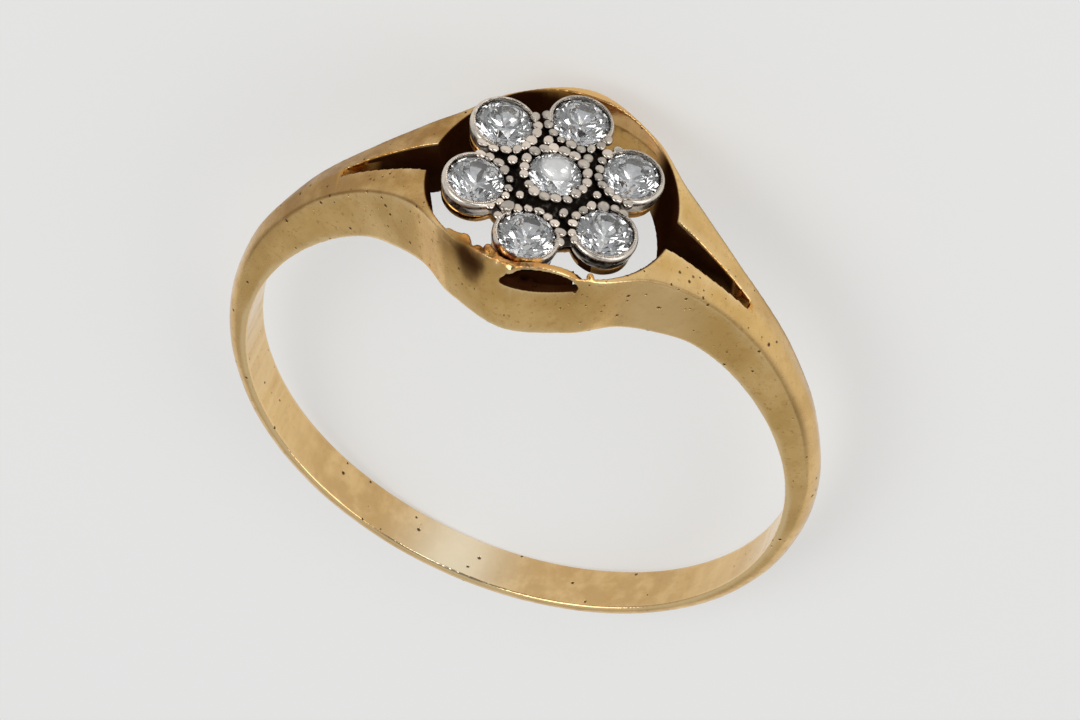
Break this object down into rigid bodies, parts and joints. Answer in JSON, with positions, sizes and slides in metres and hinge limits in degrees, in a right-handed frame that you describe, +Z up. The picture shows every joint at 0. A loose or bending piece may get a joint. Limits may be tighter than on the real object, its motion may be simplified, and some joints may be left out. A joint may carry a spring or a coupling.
{
  "type": "cluster ring",
  "caption": "Finger ring with split shoulders and a daisy cluster of round stones in white metal, set in a pierced round collar.",
  "frame": {"origin": "on the floor, under the middle of the resting ring's box", "axes": "+Z up from the floor the ring lies on, +Y from the band to the head, +X across the shoulders"},
  "size_m": [0.0188, 0.0208, 0.008],
  "materials": {
    "gold": "polished, worn",
    "white_metal": "worn satin",
    "clear_stone": "faceted, clear"
  },
  "bodies": {
    "root": {"shank": "gold", "cluster_setting": "white_metal", "middle_stone": "clear_stone", "petal_stone_1": "clear_stone", "petal_stone_2": "clear_stone", "petal_stone_3": "clear_stone", "petal_stone_4": "clear_stone", "petal_stone_5": "clear_stone", "petal_stone_6": "clear_stone"}
  },
  "joints": []
}
